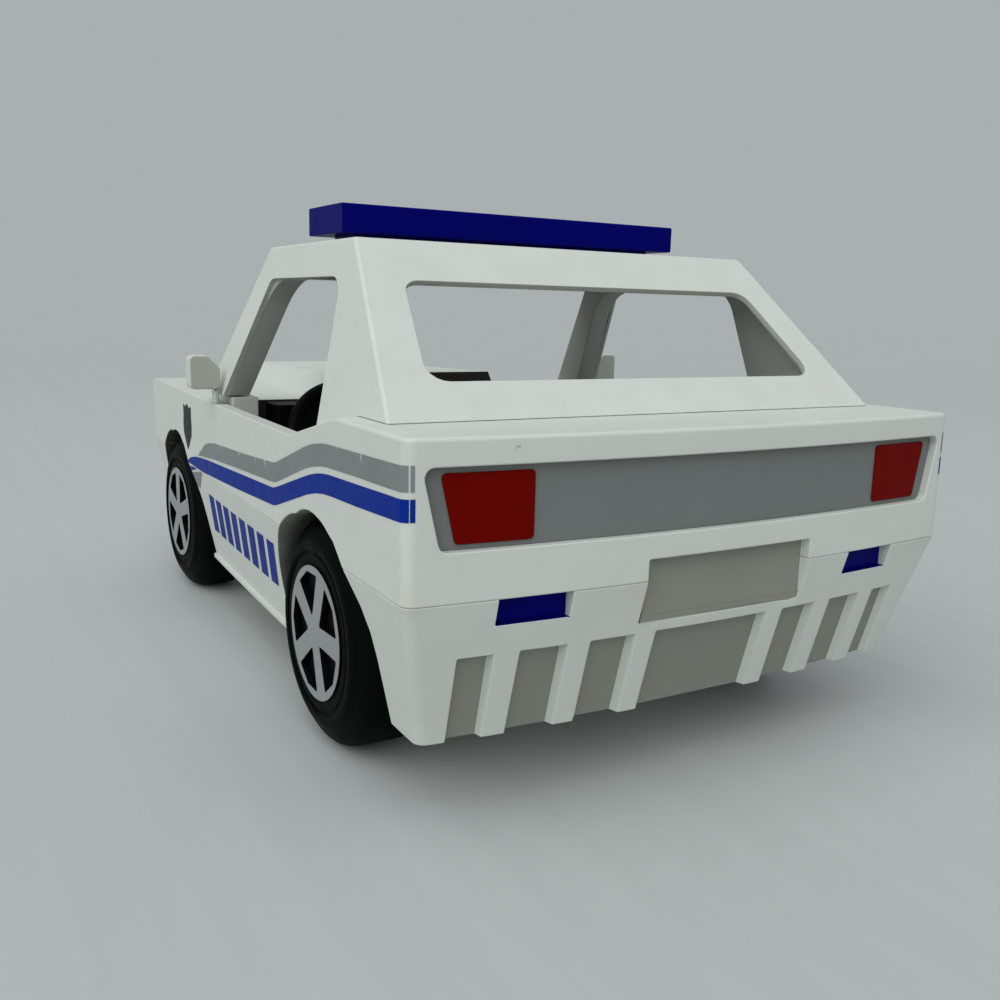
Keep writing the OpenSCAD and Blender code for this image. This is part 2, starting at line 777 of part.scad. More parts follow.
module body_shell() color(white) difference() {
    union() {
        difference() {
            union() {
                intersection() {
                    plan_block(0, 0, seam_z, deck_z + past);
                    body_profile(0);
                }
                bulge(0);
            }
            body_hollow();
        }
        pillar_pad();
        mirror([1, 0, 0])
            pillar_pad();
        for (x = [-screw_x, screw_x]) {
            translate([x, screw_front_y, floor_z + post_pad_h])
                cylinder(r = post_r, h = belt_z - wall/2 - floor_z - post_pad_h, $fn = small_n);
            translate([x, screw_rear_y, floor_z + post_pad_h])
                cylinder(r = post_r, h = deck_z - wall/2 - floor_z - post_pad_h, $fn = small_n);
        }
        for (x = [-peg_x, peg_x])
            translate([x, peg_y, deck_z - peg_len - wall])
                cylinder(r = peg_r + wall, h = peg_len + wall/2, $fn = small_n);
    }
    wells();
    difference() {
        along(recess_pts(0), rear_skin_y, rear_y + past);
        plan_block(panel_depth + panel_t, panel_depth + panel_t, seam_z - past, deck_z + past);
    }
    difference() {
        along(grille_pts(0), front_y - past, front_skin_y);
        plan_block(panel_depth + panel_t, panel_depth + panel_t, seam_z - past, deck_z + past);
    }
    plate_pocket();
    for (x = [-peg_x, peg_x])
        translate([x, peg_y, deck_z - peg_len - play])
            cylinder(r = peg_r + fit, h = peg_len + past, $fn = small_n);
    mirror_tab(fit);
    mirror([1, 0, 0])
        mirror_tab(fit);
    at_screws()
        translate([0, 0, floor_z])
            cylinder(r = screw_r + fit, h = screw_sunk + screw_head_h + screw_len + play,
                     $fn = small_n);
}

// outside of the lower body
module lower_outer() {
    loft([ring_at(plan(side_in, end_in), floor_z), ring_at(plan(0, 0), seam_z)]);
}

// inside of the lower body
module lower_inner() {
    loft([ring_at(plan(side_in + wall, end_in + bumper_t), floor_top_z),
          ring_at(plan(wall, bumper_t), seam_z + past)]);
}

// cutter for one gap between fins, from x0 to x1 at the bumper face
module fin_gap(x0, x1) {
    xm = (x0 + x1)/2;
    hw = (x1 - x0)/2;
    translate([xm, rear_face_y(xm), seam_z])
        rotate([-end_a, 0, rear_face_a(xm)])
            translate([0, 0, -fin_run])
                linear_extrude(fin_run - fin_from)
                    polygon([[-hw, past], [-hw, 0], [fin_draft - hw, -fin_depth],
                             [hw - fin_draft, -fin_depth], [hw, 0], [hw, past]]);
}

// place and turn of a reflector pocket, s is the side
module at_reflector(s) {
    xm = s*reflector_mid_x;
    translate([xm, rear_face_y(xm), seam_z])
        rotate([0, 0, rear_face_a(xm)])
            children();
}

module chassis() color(white) difference() {
    union() {
        difference() {
            lower_outer();
            difference() {
                lower_inner();
                well_walls(0);
            }
            wells();
        }
        difference() {
            plan_block(belt_wall + fit, bumper_t - wall, seam_z - wall, seam_z + lip_h);
            plan_block(belt_wall + fit + lip_t, bumper_t + lip_t, seam_z - wall - past,
                       seam_z + lip_h + past);
            well_walls(fit);
        }
        intersection() {
            difference() {
                plan_block(side_in - sill_out, end_in, floor_z, floor_z + sill_h);
                plan_block(side_in + wall, end_in, floor_z - past, floor_z + sill_h + past);
            }
            box([-span, front_axle_y + tyre_r*arch_end_share + play, 0],
                [span, rear_axle_y - rear_arch_r - play, span]);
        }
        for (s = [0, 1])
            mirror([s, 0, 0]) {
                box([liner_x - liner_t, rear_axle_y - bearing_w/2, footing_z],
                    [rear_hub_in_x - play, rear_axle_y + bearing_w/2, axle_z + axle_r + bearing_over]);
                box([liner_x - liner_t, front_axle_y - bearing_w/2, footing_z],
                    [front_hub_in_x - play, front_axle_y + bearing_w/2,
                     axle_z + axle_r + bearing_over]);
            }
        for (y = [cowl_y + bearing_w, tub_wide_y - bearing_w])
            box([-tub_rear_w, y, footing_z], [tub_rear_w, y + wall, tub_z]);
        at_screws()
            translate([0, 0, footing_z])
                cylinder(r = post_r, h = floor_z + post_pad_h - footing_z, $fn = small_n);
    }
    plate_pocket();
    fin_gap(fin_face/2 - fin_x, fin_x - fin_face/2);
    for (s = [0, 1])
        mirror([s, 0, 0]) {
            fin_gap(fin_x + fin_face/2, fin_x + fin_pitch - fin_face/2);
            fin_gap(fin_x + fin_pitch + fin_face/2, fin_x + 2*fin_pitch - fin_face/2);
            fin_gap(fin_x + 2*fin_pitch + fin_face/2, fin_end_x);
        }
    for (s = [-1, 1])
        at_reflector(s)
            box([-reflector_w/2, -reflector_depth - reflector_t, -reflector_h],
                [reflector_w/2, past, past + lip_h]);
    for (y = [front_axle_y, rear_axle_y])
        translate([0, y, axle_z])
            rotate([0, 90, 0])
                cylinder(r = axle_r + fit, h = span, center = true, $fn = small_n);
    at_screws() {
        translate([0, 0, floor_z - past])
            cylinder(r = screw_head_r + fit, h = screw_sunk + screw_head_h + past, $fn = small_n);
        translate([0, 0, floor_z])
            cylinder(r = screw_r + fit, h = post_pad_h + past, $fn = small_n);
    }
}

// solid across the car whose sides lean like the cabin, drawn in by t
module lean_prism(pts, t) {
    intersection() {
        across(pts, span);
        lean_side(t);
        mirror([1, 0, 0])
            lean_side(t);
    }
}

// all that lies inside the left side of the cabin, drawn in by t
module lean_side(t) {
    translate([roof_w - t, roof_front_y, roof_z])
        rotate([0, -lean_a, 0])
            rotate([0, 0, -flare_a])
                translate([-2*span, -span, -span])
                    cube(2*span);
}

// outside of the cabin
module cabin_outer() {
    lean_prism([[screen_y, cabin_pad_z], [roof_front_y, roof_z], [roof_rear_y, roof_z],
                [back_y, cabin_deck_z], [rise_end_y, cabin_deck_z],
                [rise_start_y, cabin_low_z], [pad_rear_y + play, cabin_low_z],
                [pad_rear_y + play, cabin_pad_z]], 0);
}

// room under the roof between sides of thickness t
module cabin_void(t) {
    lean_prism([[screen_line_y(void_z) - past, void_z],
                [screen_line_y(header_z) - past, header_z],
                [screen_line_y(header_z) + header_len, header_z],
                [screen_line_y(header_z) + header_len, roof_z - roof_t],
                [back_line_y(roof_z - roof_t) - back_in, roof_z - roof_t],
                [back_line_y(void_z) - back_in, void_z]], t);
}

// stretch of the cabin sides with thick front pillars
module pillar_zone() {
    low = cabin_low_z - past;
    rear = window_front_top_y + pillar_run;
    across([[screen_line_y(low) + pillar_back, low], [screen_line_y(roof_z) + pillar_back, roof_z],
            [rear, roof_z], [rear, low]], span);
}

// cutter for the side windows with front corner radius r
module side_windows(r) {
    low = belt_z - window_r*2;
    across(rounded_by([[window_front_y - window_r, low], [window_front_top_y, window_top_z],
                       [window_rear_top_y, window_top_z], [window_rear_y + past, low]],
                      [window_r, r, window_rear_r, window_r]), span);
}

// cutter for the rear window grown by e, from d under the rear face inward
module rear_window(e, d) {
    top = (glass_top_z - roof_z)/sin(back_a);
    low = (glass_low_z - roof_z)/sin(back_a);
    translate([0, roof_rear_y, roof_z])
        rotate([180 - back_a, 0, 0])
            translate([0, 0, d])
                linear_extrude(span/8)
                    polygon(rounded(trapeze(glass_top_w + e, glass_low_w + e, top + e, low - e),
                                    glass_r));
}

module cabin() color(white) difference() {
    union() {
        difference() {
            cabin_outer();
            cabin_void(cabin_wall);
            side_windows(window_r);
        }
        difference() {
            intersection() {
                cabin_outer();
                cabin_void(cabin_wall/2);
                pillar_zone();
            }
            cabin_void(pillar_t);
            side_windows(pillar_r);
        }
        for (x = [-peg_x, peg_x])
            translate([x, peg_y, cabin_deck_z - peg_len])
                cylinder(r = peg_r, h = peg_len + back_t/2, $fn = small_n);
    }
    rear_window(0, -past);
    rear_window(glass_step, glass_lip);
    for (x = [-bar_peg_x, bar_peg_x])
        translate([x, bar_front_y + bar_depth/2, roof_z - roof_t - past])
            cylinder(r = bar_peg_r + fit, h = roof_t + 2*past, $fn = small_n);
}

module light_bar() color(blue) {
    bar_z = roof_z + bar_foot_h;
    bar_rear_y = bar_front_y + bar_depth;
    across(rounded([[bar_front_y, bar_z], [bar_rear_y, bar_z],
                    [bar_rear_y, bar_z + bar_h], [bar_front_y, bar_z + bar_h]], bar_r), bar_len);
    box([bar_foot_in - bar_len/2, bar_front_y + bar_foot_in, roof_z],
        [bar_len/2 - bar_foot_in, bar_rear_y - bar_foot_in, bar_z + bar_r]);
    for (x = [-bar_peg_x, bar_peg_x])
        translate([x, bar_front_y + bar_depth/2, roof_z - roof_t])
            cylinder(r = bar_peg_r, h = roof_t + bar_foot_h, $fn = small_n);
}

module rear_panel() color(grey) intersection() {
    skin(panel_depth, panel_depth + panel_t);
    along(recess_pts(fit), rear_skin_y, rear_y + past);
}

// lamp of the left side
module tail_lamp() color(red) intersection() {
    skin(lamp_depth, panel_depth);
    along(rounded([[lamp_in_x, lamp_low_z], [lamp_low_x, lamp_low_z],
                   [lamp_top_x, lamp_top_z], [lamp_in_x, lamp_top_z]], recess_r/2),
          rear_skin_y, rear_y + past);
}

module tail_lamp_left() tail_lamp();

module tail_lamp_right() mirror([1, 0, 0]) tail_lamp();

module rear_reflector(s) color(blue) at_reflector(s)
    box([fit - reflector_w/2, -reflector_depth - reflector_t, fit - reflector_h],
        [reflector_w/2 - fit, -reflector_depth, -fit]);

module rear_reflector_left() rear_reflector(1);

module rear_reflector_right() rear_reflector(-1);

module grille_panel() color(black) intersection() {
    skin(panel_depth, panel_depth + panel_t);
    along(grille_pts(fit), front_y - past, front_skin_y);
}

// lamp of the left side
module headlamp() color(clear) intersection() {
    skin(lamp_depth, panel_depth);
    along(grille_pts(headlamp_rim), front_y - past, front_skin_y);
    box([headlamp_in_x, front_y - past, 0], [span, 0, span]);
}

module headlamp_left() headlamp();

module headlamp_right() mirror([1, 0, 0]) headlamp();

mirror_rear_y = mirror_front_y + mirror_t;
mirror_in_x = cabin_w(mirror_rear_y, cabin_pad_z) + play;
mirror_belt_x = half_w(mirror_front_y);
mirror_out_x = mirror_belt_x + mirror_reach;

// tab of the left mirror, grown by e
module mirror_tab(e) {
    box([mirror_belt_x - belt_wall + mirror_tab_in - e, mirror_front_y + 2*mirror_tab_in - e,
         belt_z - mirror_tab_len - e],
        [mirror_belt_x - mirror_tab_in + e, mirror_rear_y - 2*mirror_tab_in + e, belt_z + e]);
}

// mirror of the left side
module door_mirror() color(white) {
    mirror_top_z = mirror_low_z + mirror_h;
    along(rounded([[mirror_in_x, mirror_low_z], [mirror_out_x, mirror_low_z],
                   [mirror_out_x, mirror_top_z], [mirror_in_x + mirror_cut, mirror_top_z],
                   [mirror_in_x, mirror_top_z - mirror_cut]], mirror_r),
          mirror_front_y, mirror_rear_y);
    box([mirror_in_x + fit, mirror_front_y + mirror_tab_in, belt_z],
        [mirror_in_x + fit + mirror_foot_t, mirror_rear_y - mirror_tab_in, mirror_low_z + mirror_r]);
    mirror_tab(0);
}

module mirror_left() door_mirror();

module mirror_right() mirror([1, 0, 0]) door_mirror();

module interior_tub() color(black) {
    y0 = cowl_y + play;
    y1 = bulkhead_y - play;
    difference() {
        union() {
            box([-tub_front_w, y0, tub_z], [tub_front_w, tub_wide_y, tub_rim_z]);
            box([-tub_rear_w, y0, tub_z], [tub_rear_w, y1, tub_rim_z]);
            intersection() {
                plan_block(belt_wall + play, wall, tub_rim_z, tub_top_z);
                box([-span, y0, 0], [span, y1, span]);
            }
        }
        box([tub_wall - tub_front_w, y0 + tub_wall, tub_floor_z],
            [tub_front_w - tub_wall, tub_wide_y - tub_wall, tub_top_z + past]);
        box([tub_wall - tub_rear_w, y0 + tub_wall, tub_floor_z],
            [tub_rear_w - tub_wall, y1 - tub_wall, tub_top_z + past]);
    }
}

// seat at a place across the car
module seat(x) color(grey) {
    y1 = seat_y + seat_len;
    top_z = tub_floor_z + seat_h;
    translate([x, 0, 0])
        across(rounded([[seat_y, tub_floor_z], [y1 + seat_back_t, tub_floor_z],
                        [y1 + seat_back_t + seat_back_lean, top_z + seat_back_h],
                        [y1 + seat_back_lean, top_z + seat_back_h],
                        [y1, top_z], [seat_y, top_z]], seat_r), seat_w);
}

module seat_left() seat(seat_x);

module seat_right() seat(-seat_x);

// frame of the steering column, +Z along the column towards the driver
module at_steering() {
    translate([steer_x, steer_y, steer_z])
        rotate([steer_tilt - 90, 0, 0])
            children();
}

dash_y = cowl_y + play + tub_wall + play;
dash_rear_y = dash_y + dash_len;
column_len = (steer_y - dash_rear_y)/cos(steer_tilt) + column_seat;

module dashboard() color(black) difference() {
    across([[dash_y, tub_top_z - dash_drop], [dash_rear_y, tub_top_z - dash_drop],
            [dash_rear_y, tub_top_z], [dash_rear_y - past, tub_top_z + dash_h],
            [cowl_y + play, tub_top_z + dash_h], [cowl_y + play, tub_top_z],
            [dash_y, tub_top_z]], 2*dash_w);
    at_steering()
        translate([0, 0, -column_len])
            cylinder(r = column_r + fit, h = span, $fn = small_n);
}

module steering_column() color(black) at_steering() {
    translate([0, 0, -column_len])
        cylinder(r = column_r, h = column_len - steer_hub_h/2 - play, $fn = small_n);
    translate([0, 0, -column_len/2])
        cylinder(r = pin_r, h = column_len/2 + steer_hub_h/2, $fn = small_n);
}

module steering_wheel() color(black) at_steering() {
    ring_r = steer_r - steer_rim_t/2;
    rotate_extrude($fn = round_n)
        translate([ring_r, 0])
            circle(r = steer_rim_t/2, $fn = small_n/2);
    difference() {
        union() {
            translate([0, 0, -steer_hub_h/2])
                cylinder(r = steer_hub_r, h = steer_hub_h, $fn = small_n);
            for (a = [-90, 30, 150])
                rotate([0, 0, a])
                    box([0, -spoke_w/2, -steer_rim_t/4], [ring_r, spoke_w/2, steer_rim_t/4]);
        }
        translate([0, 0, -steer_hub_h])
            cylinder(r = pin_r + fit, h = 2*steer_hub_h, $fn = small_n);
    }
}

// axle along X between the wheels with outer face x
module axle(x, y) color(steel)
    translate([0, y, axle_z])
        rotate([0, 90, 0])
            cylinder(r = axle_r, h = 2*(x - axle_in), center = true, $fn = small_n);

module front_axle() axle(front_wheel_x, front_axle_y);

module rear_axle() axle(rear_wheel_x, rear_axle_y);

// wheel frame of the left side, +Z along the axle outward, z = 0 at the outer face
module at_wheel(x, y) {
    translate([x, y, axle_z])
        rotate([0, 90, 0])
            children();
}

// tyre in the wheel frame
module tyre() color(black)
    rotate_extrude($fn = round_n)
        polygon(concat(
            [[core_r + fit, (tyre_shares[0][1] - 1)*tyre_w]],
            [for (p = tyre_shares) [p[0]*tyre_r, (p[1] - 1)*tyre_w]],
            [[core_r + fit, -tyre_w]]));

// black wheel core in the wheel frame
module hub() color(black) difference() {
    translate([0, 0, -tyre_w])
        cylinder(r = core_r, h = tyre_w - cap_t, $fn = round_n);
    translate([0, 0, -tyre_w - past])
        cylinder(r = axle_r + fit/2, h = tyre_w - axle_in + past, $fn = small_n);
}

// outline of one window of the hubcap, points towards +X
function cap_void_pts() =
    let (r = cap_r - cap_rim,
         x = r*cap_void_corner_share*cos(cap_void_a),
         y = r*cap_void_corner_share*sin(cap_void_a))
    rounded([[r*cap_void_in_share, 0], [x, y], [r, 0], [x, -y]], cap_rim*cap_void_r_share);

// silver cap in the wheel frame, turned by a
module hubcap(a) color(silver)
    translate([0, 0, -cap_t])
        linear_extrude(cap_t)
            difference() {
                circle(r = core_r, $fn = round_n);
                for (i = [0:4])
                    rotate(a + 72*i)
                        polygon(cap_void_pts());
            }

module tyre_front_left() at_wheel(front_wheel_x, front_axle_y) tyre();

module tyre_front_right() mirror([1, 0, 0]) at_wheel(front_wheel_x, front_axle_y) tyre();

module tyre_rear_left() at_wheel(rear_wheel_x, rear_axle_y) tyre();

module tyre_rear_right() mirror([1, 0, 0]) at_wheel(rear_wheel_x, rear_axle_y) tyre();

module hub_front_left() at_wheel(front_wheel_x, front_axle_y) hub();

module hub_front_right() mirror([1, 0, 0]) at_wheel(front_wheel_x, front_axle_y) hub();

module hub_rear_left() at_wheel(rear_wheel_x, rear_axle_y) hub();

module hub_rear_right() mirror([1, 0, 0]) at_wheel(rear_wheel_x, rear_axle_y) hub();

module hubcap_front_left() at_wheel(front_wheel_x, front_axle_y) hubcap(0);

module hubcap_front_right() mirror([1, 0, 0]) at_wheel(front_wheel_x, front_axle_y) hubcap(0);

module hubcap_rear_left() at_wheel(rear_wheel_x, rear_axle_y) hubcap(-90);

module hubcap_rear_right() mirror([1, 0, 0]) at_wheel(rear_wheel_x, rear_axle_y) hubcap(-90);

module chassis_screws() color(steel) at_screws()
    translate([0, 0, floor_z + screw_sunk]) {
        cylinder(r = screw_head_r, h = screw_head_h, $fn = small_n);
        cylinder(r = screw_r, h = screw_head_h + screw_len, $fn = small_n);
    }

body_shell();
chassis();
cabin();
light_bar();
rear_panel();
tail_lamp_left();
tail_lamp_right();
rear_reflector_left();
rear_reflector_right();
grille_panel();
headlamp_left();
headlamp_right();
mirror_left();
mirror_right();
interior_tub();
seat_left();
seat_right();
dashboard();
steering_column();
steering_wheel();
front_axle();
rear_axle();
tyre_front_left();
tyre_front_right();
tyre_rear_left();
tyre_rear_right();
hub_front_left();
hub_front_right();
hub_rear_left();
hub_rear_right();
hubcap_front_left();
hubcap_front_right();
hubcap_rear_left();
hubcap_rear_right();
chassis_screws();
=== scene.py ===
import math
import bmesh
import bpy
from mathutils import Matrix, Vector


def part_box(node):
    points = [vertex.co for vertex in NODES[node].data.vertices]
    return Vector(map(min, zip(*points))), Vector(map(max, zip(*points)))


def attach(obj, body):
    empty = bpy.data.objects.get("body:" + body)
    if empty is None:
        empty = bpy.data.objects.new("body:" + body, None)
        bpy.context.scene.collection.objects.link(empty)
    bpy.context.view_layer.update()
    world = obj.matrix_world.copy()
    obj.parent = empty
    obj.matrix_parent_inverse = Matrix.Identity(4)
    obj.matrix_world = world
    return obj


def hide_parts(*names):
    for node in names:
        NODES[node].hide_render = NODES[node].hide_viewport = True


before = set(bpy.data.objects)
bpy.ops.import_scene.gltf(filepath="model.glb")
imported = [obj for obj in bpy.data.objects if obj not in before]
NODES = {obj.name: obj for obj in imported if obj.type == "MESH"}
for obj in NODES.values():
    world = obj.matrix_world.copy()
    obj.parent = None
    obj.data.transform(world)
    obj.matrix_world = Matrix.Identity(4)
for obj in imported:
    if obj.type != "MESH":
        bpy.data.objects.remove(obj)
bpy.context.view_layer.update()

MM = 0.001

# Body shape in millimetres, as in the part's source
HALF_LEN = 93
HALF_WIDTH = 49.6
SEAM_Z = 33.6
SIDE_LEAN = 0.22
REAR_LEAN = 0.277
REAR_BOW = 2.9
CORNER_Y = 88.5
CORNER_R = 1.8
AXLES = ((-52.91, 18.5), (50.46, 18.5))
PLATE_Y = 90.9
LIFT = 0.05


# Materials


ROUGH_DRIFT = 0.07
BUMP_DEPTH = 0.0004
DUST = (0.10, 0.09, 0.08)
# Depths across the wheel wells over which their painted shade goes from dark to light
WELL_DARK_X = 0.0405
WELL_LIGHT_X = 0.0490


def new_material(name):
    m = bpy.data.materials.new(name)
    m.use_nodes = True
    t = m.node_tree
    return m, t, t.nodes["Principled BSDF"]


def noise(t, coord, scale, detail=4.0, rough=0.6, stretch=None):
    n = t.nodes.new("ShaderNodeTexNoise")
    n.inputs["Scale"].default_value = scale
    n.inputs["Detail"].default_value = detail
    n.inputs["Roughness"].default_value = rough
    if stretch:
        mp = t.nodes.new("ShaderNodeMapping")
        mp.inputs["Scale"].default_value = stretch
        t.links.new(coord, mp.inputs["Vector"])
        coord = mp.outputs["Vector"]
    t.links.new(coord, n.inputs["Vector"])
    return n.outputs["Fac"]


def ramp(t, fac, stops):
    r = t.nodes.new("ShaderNodeValToRGB")
    e = r.color_ramp.elements
    while len(e) < len(stops):
        e.new(0.5)
    for k, (pos, col) in enumerate(stops):
        e[k].position = pos
        e[k].color = col if len(col) == 4 else (*col, 1)
    t.links.new(fac, r.inputs["Fac"])
    return r.outputs["Color"]


def mix(t, fac, a, b, mode="MIX"):
    n = t.nodes.new("ShaderNodeMix")
    n.data_type = "RGBA"
    n.blend_type = mode
    for sock, v in ((n.inputs["Factor"], fac), (n.inputs[6], a), (n.inputs[7], b)):
        if isinstance(v, (int, float)):
            sock.default_value = v
        elif isinstance(v, tuple):
            sock.default_value = (*v, 1) if len(v) == 3 else v
        else:
            t.links.new(v, sock)
    return n.outputs[2]


def grey(v):
    return (v, v, v, 1)


def plastic(name, colour, rough, shade=0.05, scale=60, bump=0.02, bump_scale=900, spec=0.5,
            specks=0.0, wear=None, wear_amount=0.0, coat=0.0):
    """Moulded plastic: slow colour drift, fine grain in bump and gloss, dust specks and worn edges."""
    m, t, p = new_material(name)
    co = t.nodes.new("ShaderNodeTexCoord").outputs["Object"]
    col = ramp(t, noise(t, co, scale, 3), [(0.3, tuple(c*(1 - shade) for c in colour)),
                                           (0.7, tuple(c*(1 + shade) for c in colour))])
    if wear:
        geo = t.nodes.new("ShaderNodeNewGeometry")
        edge = ramp(t, geo.outputs["Pointiness"], [(0.52, grey(0)), (0.6, grey(wear_amount))])
        patch = ramp(t, noise(t, co, 140, 5), [(0.45, grey(0)), (0.62, grey(1))])
        col = mix(t, mix(t, 1.0, edge, patch, "MULTIPLY"), col, wear)
    if specks:
        dots = ramp(t, noise(t, co, 520, 2, 0.5), [(0.77, grey(0)), (0.81, grey(specks))])
        col = mix(t, dots, col, DUST)
    t.links.new(col, p.inputs["Base Color"])
    gloss = ramp(t, noise(t, co, scale*4, 5), [(0.3, grey(rough - ROUGH_DRIFT)),
                                               (0.7, grey(rough + ROUGH_DRIFT))])
    t.links.new(gloss, p.inputs["Roughness"])
    b = t.nodes.new("ShaderNodeBump")
    b.inputs["Strength"].default_value = bump
    b.inputs["Distance"].default_value = BUMP_DEPTH
    t.links.new(noise(t, co, bump_scale, 4), b.inputs["Height"])
    t.links.new(b.outputs["Normal"], p.inputs["Normal"])
    p.inputs["Specular IOR Level"].default_value = spec
    p.inputs["Coat Weight"].default_value = coat
    return m


WHITE = plastic("white_plastic", (0.665, 0.67, 0.63), 0.42, shade=0.012, bump=0.03, spec=0.3,
                specks=0.4, wear=(0.50, 0.45, 0.32), wear_amount=0.3)
# Painted shade: darker white for recess floors, the plate pocket and the rear faces of the belt pads, where
# shade falls
SHADED = plastic("white_recess_painted_shade", (0.27, 0.268, 0.235), 0.6, shade=0.03, bump=0.06, spec=0.2, specks=0.2)
# Painted shade: darker white for the inner faces of the cabin
INSIDE_SHADE = plastic("white_inside_painted_shade", (0.44, 0.44, 0.40), 0.6, shade=0.04, bump=0.06, spec=0.15, specks=0.2)
# Painted shade: darker white for the rear faces of the mirrors
MIRROR_SHADE = plastic("white_mirror_painted_shade", (0.44, 0.44, 0.40), 0.5, shade=0.03, bump=0.04, spec=0.25, specks=0.2)
# Painted shade: near-black for the rear face of the cowl, which lies in shade
COWL_SHADE = plastic("cowl_painted_shade", (0.045, 0.044, 0.040), 0.6, shade=0.1, bump=0.06, spec=0.1)
BLACK = plastic("black_plastic", (0.003, 0.003, 0.0034), 0.5, shade=0.2, bump=0.05, spec=0.06)
GREY = plastic("grey_panel", (0.185, 0.195, 0.19), 0.4, shade=0.05, scale=25, bump=0.03, spec=0.15,
               specks=0.2)
SEAT = plastic("seat_plastic", (0.008, 0.0085, 0.009), 0.55, shade=0.2, bump=0.08, spec=0.2)
RED = plastic("red_lamp", (0.155, 0.0022, 0.0006), 0.35, shade=0.05, scale=40, bump=0.02, spec=0.025)
BLUE = plastic("blue_plastic", (0.0006, 0.001, 0.135), 0.35, shade=0.06, scale=30, bump=0.025, spec=0.03)
LAMP = plastic("head_lamp", (0.52, 0.56, 0.58), 0.2, shade=0.03, bump=0.04, coat=0.3)
SILVER = plastic("silver_paint", (0.27, 0.285, 0.28), 0.42, shade=0.06, scale=90, bump=0.04, specks=0.2)
TYRE = plastic("tyre_plastic", (0.0018, 0.0018, 0.002), 0.55, shade=0.25, scale=80, bump=0.08, spec=0.04)
PRINT_BLUE = plastic("print_blue", (0.003, 0.026, 0.26), 0.42, shade=0.04, scale=80, bump=0.02, spec=0.03)
PRINT_DARK = plastic("print_dark", (0.010, 0.011, 0.013), 0.45, shade=0.2, scale=200, bump=0.02, spec=0.1)
STEEL = plastic("axle_steel", (0.45, 0.45, 0.47), 0.3, shade=0.05, bump=0.05, bump_scale=1500)
STEEL.node_tree.nodes["Principled BSDF"].inputs["Metallic"].default_value = 1


def print_grey():
    """Grey print with a worn, flaked upper edge."""
    m, t, p = new_material("print_grey")
    co = t.nodes.new("ShaderNodeTexCoord").outputs["Object"]
    base = ramp(t, noise(t, co, 90, 4), [(0.3, (0.20, 0.212, 0.21)), (0.7, (0.235, 0.247, 0.245))])
    fleck = ramp(t, noise(t, co, 700, 3, 0.7, (1, 1, 0.35)), [(0.60, grey(0)), (0.68, grey(1))])
    at = t.nodes.new("ShaderNodeAttribute")
    at.attribute_name = "edge"
    worn = ramp(t, at.outputs["Fac"], [(0.55, grey(0)), (1.0, grey(1))])
    flake = mix(t, 1.0, fleck, worn, "MULTIPLY")
    col = mix(t, flake, base, (0.60, 0.60, 0.56))
    scratch = ramp(t, noise(t, co, 520, 2, 0.6, (1, 1, 0.15)), [(0.70, grey(0)), (0.75, grey(0.6))])
    col = mix(t, scratch, col, (0.10, 0.105, 0.105))
    t.links.new(col, p.inputs["Base Color"])
    p.inputs["Roughness"].default_value = 0.45
    p.inputs["Specular IOR Level"].default_value = 0.15
    return m


PRINT_GREY = print_grey()


def arch_painted_shade():
    """White plastic of the wheel wells with painted shade, darker towards the inside."""
    m, t, p = new_material("white_arch_painted_shade")
    co = t.nodes.new("ShaderNodeTexCoord").outputs["Object"]
    xyz = t.nodes.new("ShaderNodeSeparateXYZ")
    t.links.new(co, xyz.inputs["Vector"])
    out = t.nodes.new("ShaderNodeMath")
    out.operation = "ABSOLUTE"
    t.links.new(xyz.outputs["X"], out.inputs[0])
    depth = t.nodes.new("ShaderNodeMapRange")
    depth.inputs["From Min"].default_value = WELL_DARK_X
    depth.inputs["From Max"].default_value = WELL_LIGHT_X
    t.links.new(out.outputs["Value"], depth.inputs["Value"])
    base = ramp(t, depth.outputs["Result"], [(0, (0.035, 0.035, 0.032)), (0.45, (0.085, 0.085, 0.078)),
                                             (0.85, (0.30, 0.30, 0.27)), (1, (0.55, 0.55, 0.51))])
    dust = ramp(t, noise(t, co, 300, 4), [(0.35, grey(0.82)), (0.65, grey(1))])
    t.links.new(mix(t, 1.0, base, dust, "MULTIPLY"), p.inputs["Base Color"])
    t.links.new(ramp(t, noise(t, co, 240, 4), [(0.3, grey(0.5)), (0.7, grey(0.68))]), p.inputs["Roughness"])
    p.inputs["Specular IOR Level"].default_value = 0.12
    return m


ARCH_SHADE = arch_painted_shade()


# Shells from the CAD solids, with softened edges


WELD = 2e-6
FLAT = math.radians(0.3)
UNDERSIDE = -0.9
EDGE_ANGLE = math.radians(32)
BIG_SEGMENTS = 4
NORMAL_WEIGHT = 80


def is_disc(faces):
    """True for faces that join in one piece without a hole."""
    edges = {e for g in faces for e in g.edges}
    points = {v for g in faces for v in g.verts}
    return len(points) - len(edges) + len(faces) == 1


def flat_region(f, limit):
    """All faces that join f in one plane."""
    region, stack = {f}, [f]
    while stack:
        for e in stack.pop().edges:
            if len(e.link_faces) == 2 and e.calc_face_angle(math.pi) < limit:
                for h in e.link_faces:
                    if h not in region:
                        region.add(h)
                        stack.append(h)
    return region


def holed_edges(bm, limit):
    """Edges that cut flat regions with holes into polygons without holes.

    Undersides keep all their edges.
    """
    seen, keep = set(), set()
    for f in bm.faces:
        if f in seen:
            continue
        region = flat_region(f, limit)
        seen |= region
        if is_disc(region):
            continue
        edges = {e for g in region for e in g.edges}
        inner = [e for e in edges if all(h in region for h in e.link_faces)]
        if f.normal.z < UNDERSIDE:
            keep.update(inner)
            continue
        inner.sort(key=lambda e: (-e.calc_length(), e.index))
        patch = {g: {g} for g in region}
        for e in inner:
            one, two = (patch[g] for g in e.link_faces)
            if one is not two and is_disc(one | two):
                one |= two
                for g in two:
                    patch[g] = one
        keep |= {e for e in inner if patch[e.link_faces[0]] is not patch[e.link_faces[1]]}
    return keep


